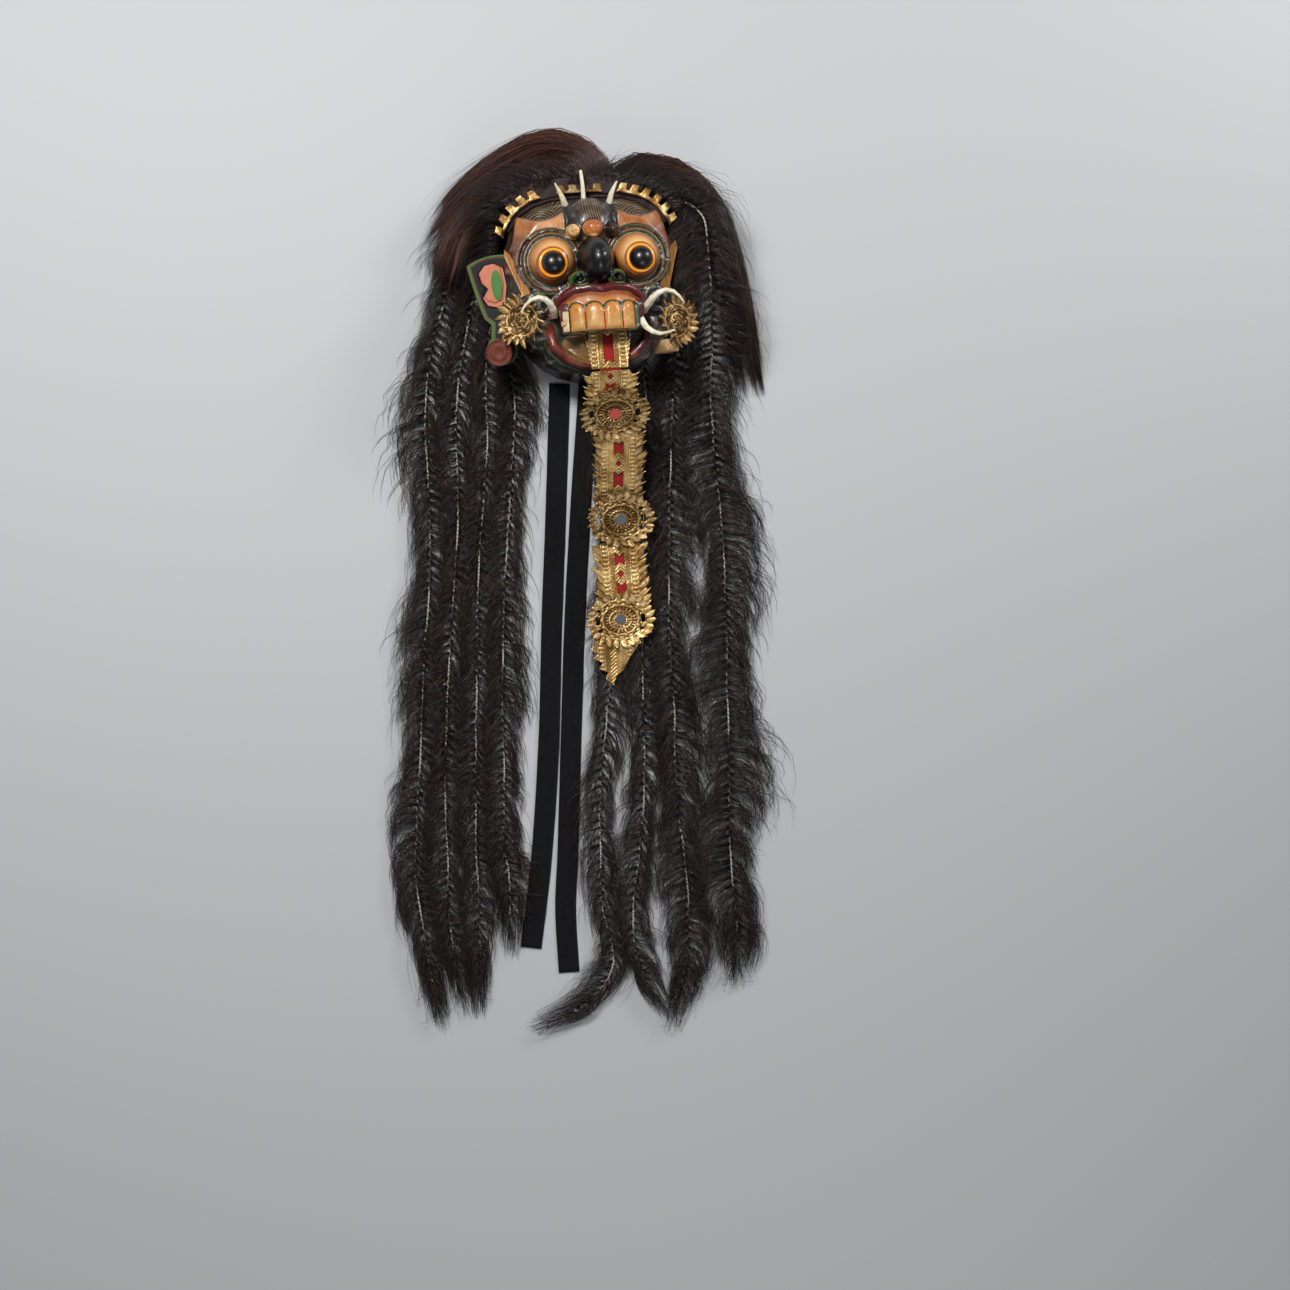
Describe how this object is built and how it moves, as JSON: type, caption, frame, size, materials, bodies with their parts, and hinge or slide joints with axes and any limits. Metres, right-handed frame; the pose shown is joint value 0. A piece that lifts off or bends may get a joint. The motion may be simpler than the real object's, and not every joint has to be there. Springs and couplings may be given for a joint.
{
  "type": "demon mask",
  "caption": "Carved and painted wooden demon mask with bulging eyes, tusks, a long gilt leather tongue and long hair locks, lying face up.",
  "frame": {"origin": "middle of the mask's flat back rim at the chin, on the ground plane", "axes": "+Y from the chin to the forehead, +X to the viewer's right of the face, +Z out of the face"},
  "size_m": [0.5581, 1.2609, 0.186],
  "materials": {
    "painted_wood": "black lacquer with copper, green, red and gold painted carving",
    "ivory": "polished horn or bone, cream",
    "bare_wood": "bare broken wood",
    "copper_paint": "copper and gold paint on wood",
    "ear_paint": "green, black and salmon paint on wood",
    "plug_paint": "dark red-brown paint on wood",
    "gilt_leather": "gilded punched leather",
    "maroon_leather": "dull maroon leather",
    "red_cloth": "deep red cloth",
    "mirror_glass": "small silvered glass",
    "dark_hair": "dark brown hair with reddish lights",
    "black_cotton": "flat black cotton webbing"
  },
  "bodies": {
    "root": {"mask_face": "painted_wood", "brow_horn_left": "ivory", "brow_horn_middle": "ivory", "brow_horn_right": "ivory", "tusk_upper_left": "ivory", "tusk_upper_right": "ivory", "tusk_lower_right": "ivory", "tusk_stump_left": "bare_wood", "jaw_peg_right": "bare_wood", "temple_spike_left": "copper_paint", "temple_spike_right": "copper_paint", "ear_left": "ear_paint", "ear_right": "ear_paint", "ear_plug_left": "plug_paint", "cheek_rosette_left": "gilt_leather", "cheek_rosette_right": "gilt_leather", "crown_gilt_left": "gilt_leather", "crown_gilt_middle": "gilt_leather", "crown_gilt_right": "gilt_leather", "tongue_panel_1": "gilt_leather", "tongue_panel_2": "gilt_leather", "tongue_panel_3": "gilt_leather", "tongue_panel_4": "gilt_leather", "tongue_rosette_1": "gilt_leather", "tongue_rosette_2": "gilt_leather", "tongue_rosette_3": "gilt_leather", "tongue_tip": "gilt_leather", "wig_band": "maroon_leather", "crown_band": "maroon_leather", "tongue_cloth": "red_cloth", "tongue_mirror_1": "mirror_glass", "tongue_mirror_2": "mirror_glass", "tongue_mirror_3": "mirror_glass", "hair_crest_left_upper": "dark_hair", "hair_crest_left_lower": "dark_hair", "hair_crest_right": "dark_hair", "hair_lock_left_1": "dark_hair", "hair_lock_left_2": "dark_hair", "hair_lock_left_3": "dark_hair", "hair_lock_left_4": "dark_hair", "hair_lock_right_1": "dark_hair", "hair_lock_right_2": "dark_hair", "hair_lock_back_1": "dark_hair", "hair_lock_back_2": "dark_hair", "neck_tie_left": "black_cotton", "neck_tie_right": "black_cotton"}
  },
  "joints": []
}
